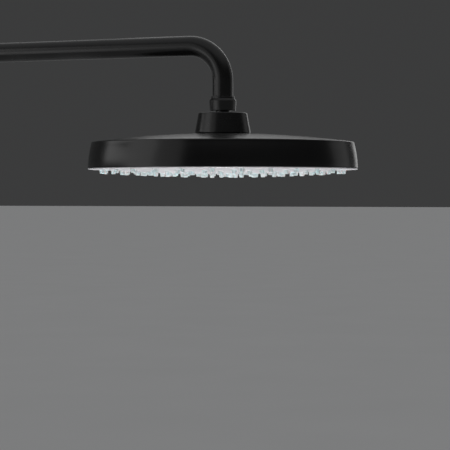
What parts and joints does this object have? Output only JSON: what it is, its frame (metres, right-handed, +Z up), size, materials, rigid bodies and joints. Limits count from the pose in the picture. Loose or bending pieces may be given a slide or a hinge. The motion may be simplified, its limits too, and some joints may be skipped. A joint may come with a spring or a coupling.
{
  "type": "rainfall shower column",
  "caption": "Wall-fed riser with a telescoping, swivelling overhead arm and a round rain shower head that tilts and spins on a ball joint.",
  "frame": {"origin": "centre of the wall bracket's back face, on the wall plane", "axes": "+Z up along the riser, +Y into the wall, -Y out into the room along the arm at rest"},
  "size_m": [0.25, 0.579, 0.7795],
  "materials": {
    "black_metal": "matte black powder coat",
    "black_abs": "satin black paint",
    "grey_abs": "as moulded",
    "face_white": "satin light grey",
    "silicone": "soft, slightly translucent",
    "acetal": "natural acetal",
    "black_rubber": "EPDM",
    "brass": "machined",
    "steel": "plain stainless"
  },
  "bodies": {
    "base": {"inlet_elbow": "black_metal", "inlet_cover": "black_metal", "inlet_filter": "acetal", "riser_union_nut": "black_metal", "riser_seal": "black_rubber", "riser_tube": "black_metal", "clamp_collet": "acetal", "bracket_base": "brass", "bracket_cover": "black_metal", "bracket_arm": "black_metal", "post_grub_screw": "steel", "ring_grub_screw": "steel"},
    "lock_nut": {"lock_nut": "black_metal"},
    "slider": {"piston": "brass", "piston_seal_1": "black_rubber", "piston_seal_2": "black_rubber"},
    "arm": {"upper_tube": "black_metal", "arm_nipple": "brass", "inlet_washer": "black_rubber", "flow_regulator": "acetal", "swivel_collar": "black_metal"},
    "liner": {"ball_liner": "acetal"},
    "seats": {"ball_seat": "acetal", "ball_seal": "black_rubber"},
    "head": {"bell_nut": "black_metal", "head_shell": "black_abs", "water_chamber": "grey_abs", "chamber_seal": "black_rubber", "face_plate": "face_white", "nozzle_mat": "silicone", "face_screw_1": "steel", "face_screw_2": "steel", "face_screw_3": "steel", "face_screw_4": "steel", "face_screw_5": "steel"}
  },
  "joints": [
    {"name": "height_slide", "type": "slide", "parent": "base", "child": "slider", "axis": [0, 0, 1], "range_m": [0, 0.25]},
    {"name": "arm_swivel", "type": "hinge", "parent": "slider", "child": "arm", "pos_m": [0, -0.06, 0], "axis": [0, 0, 1], "range_deg": [-75, 75]},
    {"name": "lock_nut_turn", "type": "hinge", "parent": "base", "child": "lock_nut", "pos_m": [0, -0.06, 0.04], "axis": [0, 0, 1], "range_deg": [0, 180]},
    {"name": "head_tilt_fore_aft", "type": "hinge", "parent": "arm", "child": "liner", "pos_m": [0, -0.44, 0.0977], "axis": [1, 0, 0], "range_deg": [-9, 9]},
    {"name": "head_tilt_side", "type": "hinge", "parent": "liner", "child": "seats", "pos_m": [0, -0.44, 0.0977], "axis": [0, 1, 0], "range_deg": [-9, 9]},
    {"name": "head_spin", "type": "hinge", "parent": "seats", "child": "head", "pos_m": [0, -0.44, 0.0977], "axis": [0, 0, 1], "continuous": true}
  ]
}
